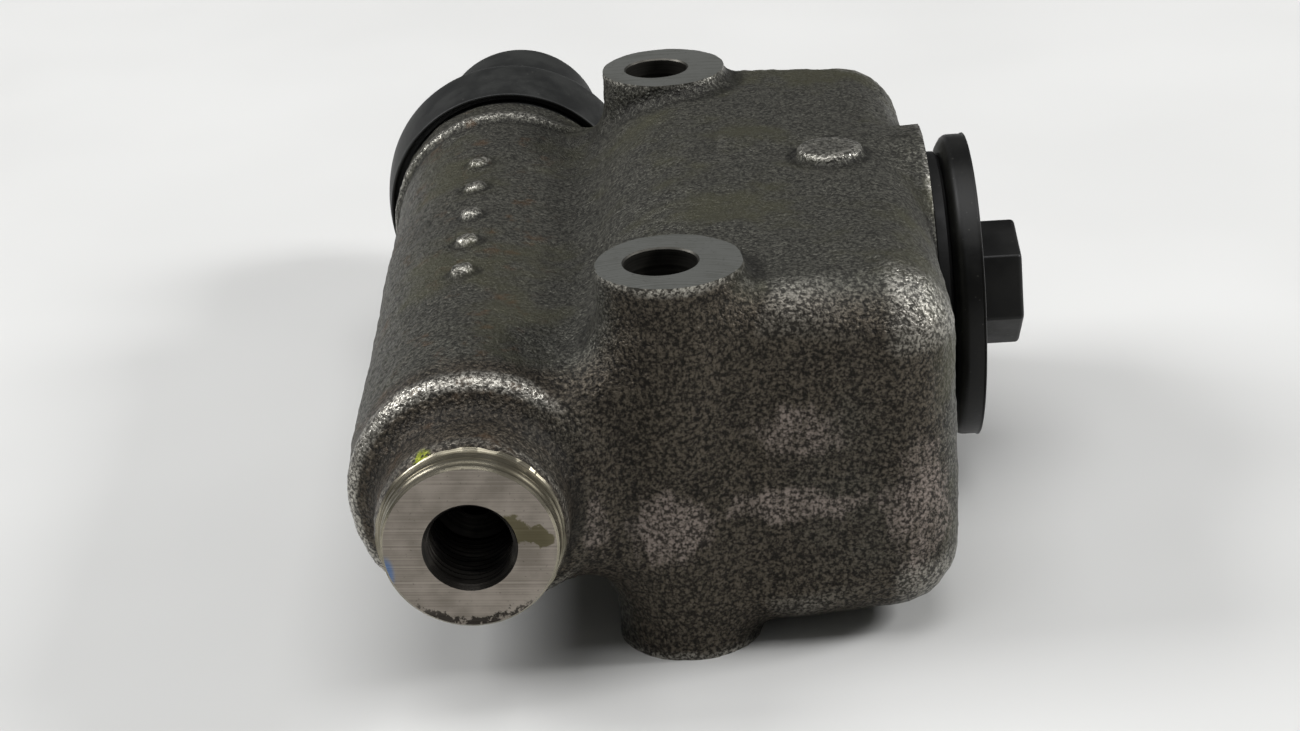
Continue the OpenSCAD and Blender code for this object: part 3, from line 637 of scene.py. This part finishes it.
# The sand core's shape: the middle between the bosses and the long part past them
def reservoirCore(x, y, z):
    shape = coreShape
    outer, up = x - shape["outerX"], np.abs(z - midZ) - shape["halfHeight"]
    middle = [outer, shape["middleX"] - x, np.abs(y) - shape["middleHalfLength"], up]
    longPart = [outer, shape["longX"] - x, np.abs(y) - shape["longHalfLength"], up]
    return weld(roundMeet(middle, shape["corner"]), roundMeet(longPart, shape["corner"]), spread=3)


# Marks where the skin bulges, whose grains are rubbed bright and also get a painted highlight, and where it dips,
# which gets painted shade
def addWearHighlightAndShade(casting):
    mesh = casting.data
    places = np.empty(len(mesh.vertices) * 3)
    mesh.vertices.foreach_get("co", places)
    x, y, z = (places.reshape(-1, 3) * 1000).T
    reach = 1.8
    bend = sum(castSkin(x + dx, y + dy, z + dz) for dx, dy, dz in
               [(reach, 0, 0), (-reach, 0, 0), (0, reach, 0), (0, -reach, 0), (0, 0, reach), (0, 0, -reach)])
    bend = (bend - 6 * castSkin(x, y, z)) / reach ** 2
    fromBoss = np.hypot(x - castShape["bossX"], np.abs(y) - castShape["bossY"])
    byBossFace = ease(np.abs(z - midZ), 27.2, 28.6) * ease(fromBoss, 9.4, 9.9)
    wearAndHighlight = np.maximum(ease(bend, 0.09, 0.28), 0.7 * byBossFace)
    for name, values in (("wearAndHighlight", wearAndHighlight), ("hollow", ease(-bend, 0.03, 0.22))):
        mesh.attributes.new(name, "FLOAT", "POINT").data.foreach_set("value", values.astype(np.float32))


casting = makeCasting()
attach(casting, "casting")
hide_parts("body_casting")
print("casting made,", sum(len(p.vertices) - 2 for p in casting.data.polygons), "triangles,",
      len(casting.data.materials), "finishes")

capShape = {
    "corner": 10.0, "turn": math.radians(-15.6), "hexFoot": 48.0, "hexTop": 56.0,
    "flangeRadius": 24.05, "flash": 0.15, "gateRadius": 1.5,
    "thread": {"inner": 16.3, "outer": 17.2, "pitch": 2.0, "start": 29.0, "end": 46.0},
    # outlines of (radius, along) points in mm: where the thread stops, the hollow inside, and the vent
    "skirt": [(0, 31.8), (16.4, 31.8), (17.2, 32.6), (17.2, 43.2), (0, 43.2)],
    "hollow": [(0, 30), (14, 30), (14, 37.8), (12.5, 37.8), (12.5, 45), (6.26, 45), (6.26, 53.6), (0, 53.6)],
    "vent": [(0, 53), (0.6, 53), (0.6, 57), (0, 57)],
}


# A hexagon standing on the flange, its corners and top edge eased as they come out of a mould
def hexagonShape(low, high, corner, edge=0.7, steps=4):
    def ring(x, inset):
        points = []
        for k in range(6):
            middle = capShape["turn"] + k * math.pi / 3
            for s in range(-steps, steps + 1):
                angle = middle + s / steps * math.pi / 6
                hub = corner - (inset + edge) / math.cos(math.pi / 6)
                points.append((x, neckY + hub * math.sin(middle) + edge * math.sin(angle),
                               midZ - hub * math.cos(middle) - edge * math.cos(angle)))
        return points
    levels = [(low, 0)] + [(high - edge + edge * math.sin(a), edge * (1 - math.cos(a)))
                           for a in np.linspace(0, math.pi / 2, 5)]
    rings = [ring(x, inset) for x, inset in levels]
    count = len(rings[0])
    points = sum(rings, [])
    faces = [[r * count + i, r * count + (i + 1) % count, (r + 1) * count + (i + 1) % count, (r + 1) * count + i]
             for r in range(len(rings) - 1) for i in range(count)]
    return points, faces + [list(range(count))[::-1], [(len(rings) - 1) * count + i for i in range(count)]]


def makeCap():
    shape = capShape
    flange, flash, gate = shape["flangeRadius"], shape["flash"], shape["gateRadius"]
    body = [(0, 43.0), (16, 43.0), (16.2, 44.0), (21.4, 44.0), (22.4, 44.2), (23.1, 44.6), (23.6, 44.9),
            (flange - 0.1, 45.4), (flange, 45.8), (flange, 48.0), (flange + flash, 48.15), (flange + flash, 48.32),
            (flange - 0.15, 48.36), (flange - 0.5, 48.45), (23.0, 48.5), (0, 48.5)]
    gateMark = [(0, 55.5), (gate, 55.5), (gate, 56.2), (gate - 0.25, 56.45), (0.9, 56.35), (0.75, 56.55), (0, 56.55)]
    cap = makePiece("nylonCap", *turnedShape(body, alongNeck, 160), mouldedNylon)
    skirt = makePiece("skirt", *threadedShape(**shape["thread"], axis=alongNeck, around=96), mouldedNylon)
    machine(skirt, [("INTERSECT", turnedShape(shape["skirt"], alongNeck, 96), mouldedNylon)])
    machine(cap, [
        ("UNION", skirt, mouldedNylon),
        ("UNION", hexagonShape(shape["hexFoot"], shape["hexTop"], shape["corner"]), mouldedNylon),
        ("UNION", turnedShape(gateMark, alongNeck, 24), mouldedNylon),
        ("DIFFERENCE", turnedShape(shape["hollow"], alongNeck), mouldedNylon),
        ("DIFFERENCE", turnedShape(shape["vent"], alongNeck, 24), mouldedNylon),
    ])
    softenShading(cap, 32)
    return cap


cap = makeCap()
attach(cap, "cap")
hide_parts("filler_cap")
print("filler cap made,", len(cap.data.polygons), "faces")

bootShape = {
    # mm: the bulge, how gently it curves down to the lip outside and inside, and how tightly it turns over
    "crest": 22.5, "crestY": 70.2, "flank": 62.0, "innerFlank": 39.0, "shoulder": 4.5,
    "domeRadius": 15.3, "domeY": 84.5, "end": 117.0, "collar": 5.0, "hole": 4.1, "wall": 1.8,
}


def arc(centre, radius, start, stop, steps):
    return [(centre[0] + radius * math.cos(a), centre[1] + radius * math.sin(a))
            for a in np.radians(np.linspace(start, stop, steps + 1))]


# The boot's broad bulge hooks over the barrel's rim, and a narrower dome closes round the pushrod
def makeBoot():
    crest, crestY, flank, inner, shoulder = [
        bootShape[name] for name in ("crest", "crestY", "flank", "innerFlank", "shoulder")]
    dome, domeY, end, collar, hole, wall = [
        bootShape[name] for name in ("domeRadius", "domeY", "end", "collar", "hole", "wall")]
    neck = hole + wall + 0.4
    bend = dome - neck
    bendY = end - collar - bend
    lean = math.degrees(math.asin((crestY - 58.5) / flank))
    lip = crest - flank * (1 - math.cos(math.radians(lean)))
    outline = [(17.35, 58.05), (19.5, 58.05), (19.65, 58.2), (19.7, 60.2), (20.3, 60.4), (20.85, 60.1),
               (lip - 0.55, 58.5)]
    outline += arc((lip - 0.28, 58.35), 0.28, 180, 350, 5)[1:]
    outline += arc((crest - flank, crestY), flank, -lean, 0, 14)
    outline += arc((crest - shoulder, crestY), shoulder, 8, 72, 8)
    outline += [(16.9, 75.5), (15.5, 76.4), (14.7, 77.2), (14.4, 78.0), (14.45, 79.0), (14.8, 80.6), (15.15, 82.4)]
    outline += [(dome, domeY)] + arc((neck, bendY), bend, 0, 84, 14)
    outline += [(neck + 0.6, end - 4.6), (neck + 0.1, end - 3.6), (neck, end - 2.5), (neck, end - 0.6),
                (neck - 0.25, end - 0.15), (neck - 0.7, end), (hole + 0.2, end), (hole, end - 0.2)]
    outline += [(hole, end - collar - wall)] + arc((neck, bendY), bend - wall, 90, 0, 12)
    outline += [(dome - wall, domeY), (12.9, 80.5), (12.6, 78.2), (12.9, 76.8), (14.5, 75.2)]
    outline += arc((crest - shoulder, crestY), shoulder - wall, 60, 8, 6)
    outline += arc((crest - inner, crestY), inner - wall, 0, -10, 8)
    outline += [(19.45, 61.2), (19.4, 60.95), (17.35, 60.95)]
    return makePiece("rubberBoot", *turnedShape(outline, alongBarrel, 144), bootRubber, sharpAt=50)


boot = makeBoot()
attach(boot, "casting")
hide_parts("dust_boot")
print("boot made,", len(boot.data.polygons), "faces")

springShape = {
    "radius": 8.95, "wire": 1.9, "low": -46.0, "high": 9.35,  # mm
    "turns": 9, "closeEnds": 0.55,  # how much closer the end turns lie, from 0 to 1
    "sides": 14, "perTurn": 40,
}


# The return spring, its end turns wound closer and the wire's two ends cut square
def makeSpring():
    shape = springShape
    steps, sides = shape["turns"] * shape["perTurn"], shape["sides"]
    points = []
    for i in range(steps + 1):
        t = i / steps
        climb = t - shape["closeEnds"] * math.sin(2 * math.pi * t) / (2 * math.pi)
        turn = 2 * math.pi * shape["turns"] * t
        for k in range(sides):
            a = 2 * math.pi * k / sides
            radius = shape["radius"] + shape["wire"] / 2 * math.cos(a)
            along = shape["low"] + (shape["high"] - shape["low"]) * climb + shape["wire"] / 2 * math.sin(a)
            points.append(alongBarrel(radius, along, turn))
    faces = [[i * sides + k, i * sides + (k + 1) % sides, (i + 1) * sides + (k + 1) % sides, (i + 1) * sides + k]
             for i in range(steps) for k in range(sides)]
    faces += [list(range(sides)), [steps * sides + k for k in range(sides)]]
    return makePiece("returnSpring", points, faces, springSteel, sharpAt=40)


spring = makeSpring()
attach(spring, "casting")
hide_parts("return_spring")
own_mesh(spring)
print("spring made")

nodeFinish = {
    "cap_gasket": gasketRubber, "vent_baffle": platedSteel, "snap_ring": ringSteel, "stop_washer": platedSteel,
    "piston": pistonAluminium, "secondary_cup": cupRubber, "port_washer": platedSteel, "primary_cup": cupRubber,
    "spring_retainer": platedSteel, "valve_cage": platedSteel, "valve_cup": cupRubber, "valve_seat": cupRubber,
}
for name, finish in nodeFinish.items():
    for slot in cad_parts[name].material_slots:
        slot.material = finish
print("small parts finished")

floorShape = {
    "size": 6000.0, "fibre": 90.0,  # mm: its side, and the distance between the faint clouds in it
    "fibreDepth": 0.00001,  # metres
    "light": "#d4d4d1", "dark": "#cfcfcc",
}


# Matt studio paper, rolled smooth: one even pale grey
def makeFloor():
    half = floorShape["size"] / 2
    corners = [(-half, -half, 0), (half, -half, 0), (half, half, 0), (-half, half, 0)]
    material, add, place = startMaterial("rolledStudioPaper")
    fibre = add("TexNoise", {"Vector": place, "Scale": 1 / floorShape["fibre"], "Detail": 2})
    share = add("MapRange", [fibre, 0.3, 0.7], **softly)
    colour = add("Mix", {0: share, 6: hexColour(floorShape["dark"]), 7: hexColour(floorShape["light"])}, **tint)
    finishMaterial(material, add, fibre, floorShape["fibreDepth"], Base_Color=colour, Roughness=0.75)
    return makePiece("studioFloor", corners, [[0, 1, 2, 3]], material)


makeFloor()

studioLight = {
    "colour": "#fdfdff", "world": "#f2f3f4", "worldStrength": 0.13,
    # place in metres, size, power in watts
    "lamps": {"overhead": ((0.0, -0.2, 2.0), (1.7, 1.3), 23), "leftSide": ((-1.25, 0.2, 1.15), (0.7, 0.7), 19),
              "rightSide": ((1.42, 0.06, 0.92), (0.45, 0.45), 19)},
}


def makeLights():
    for name, (place, size, power) in studioLight["lamps"].items():
        lamp = bpy.data.lights.new(name, "AREA")
        lamp.shape, lamp.size, lamp.size_y, lamp.energy = "RECTANGLE", size[0], size[1], power
        lamp.color = hexColour(studioLight["colour"])[:3]
        holder = bpy.data.objects.new(name, lamp)
        holder.location = place
        holder.rotation_euler = (Vector((0, 0, 0.03)) - Vector(place)).to_track_quat("-Z", "Y").to_euler()
        bpy.context.scene.collection.objects.link(holder)
    world = bpy.data.worlds.new("studio")
    world.use_nodes = True
    background = world.node_tree.nodes["Background"]
    background.inputs[0].default_value = hexColour(studioLight["world"])
    background.inputs[1].default_value = studioLight["worldStrength"]
    bpy.context.scene.world = world


makeLights()

cameraView = {
    "place": (5.190, -384.480, 190.491), "forward": (-0.02045, 0.91589, -0.40090), "roll": -3.85,
    "lens": 73.484, "sensor": 36,  # mm
    "near": 0.01, "far": 50,  # metres
}


def makeCamera():
    forward = Vector(cameraView["forward"]).normalized()
    right = forward.cross(Vector((0, 0, 1))).normalized()
    up = right.cross(forward)
    roll = math.radians(cameraView["roll"])
    across = math.cos(roll) * right + math.sin(roll) * up
    above = -math.sin(roll) * right + math.cos(roll) * up
    data = bpy.data.cameras.new("camera")
    data.lens, data.sensor_width = cameraView["lens"], cameraView["sensor"]
    data.clip_start, data.clip_end = cameraView["near"], cameraView["far"]
    camera = bpy.data.objects.new("camera", data)
    turn = Matrix((across, above, -forward)).transposed().to_4x4()
    camera.matrix_world = Matrix.Translation(Vector(cameraView["place"]) / 1000) @ turn
    bpy.context.scene.collection.objects.link(camera)
    bpy.context.scene.camera = camera


makeCamera()
bpy.context.scene.view_settings.view_transform = "Standard"
print("lights and camera set")
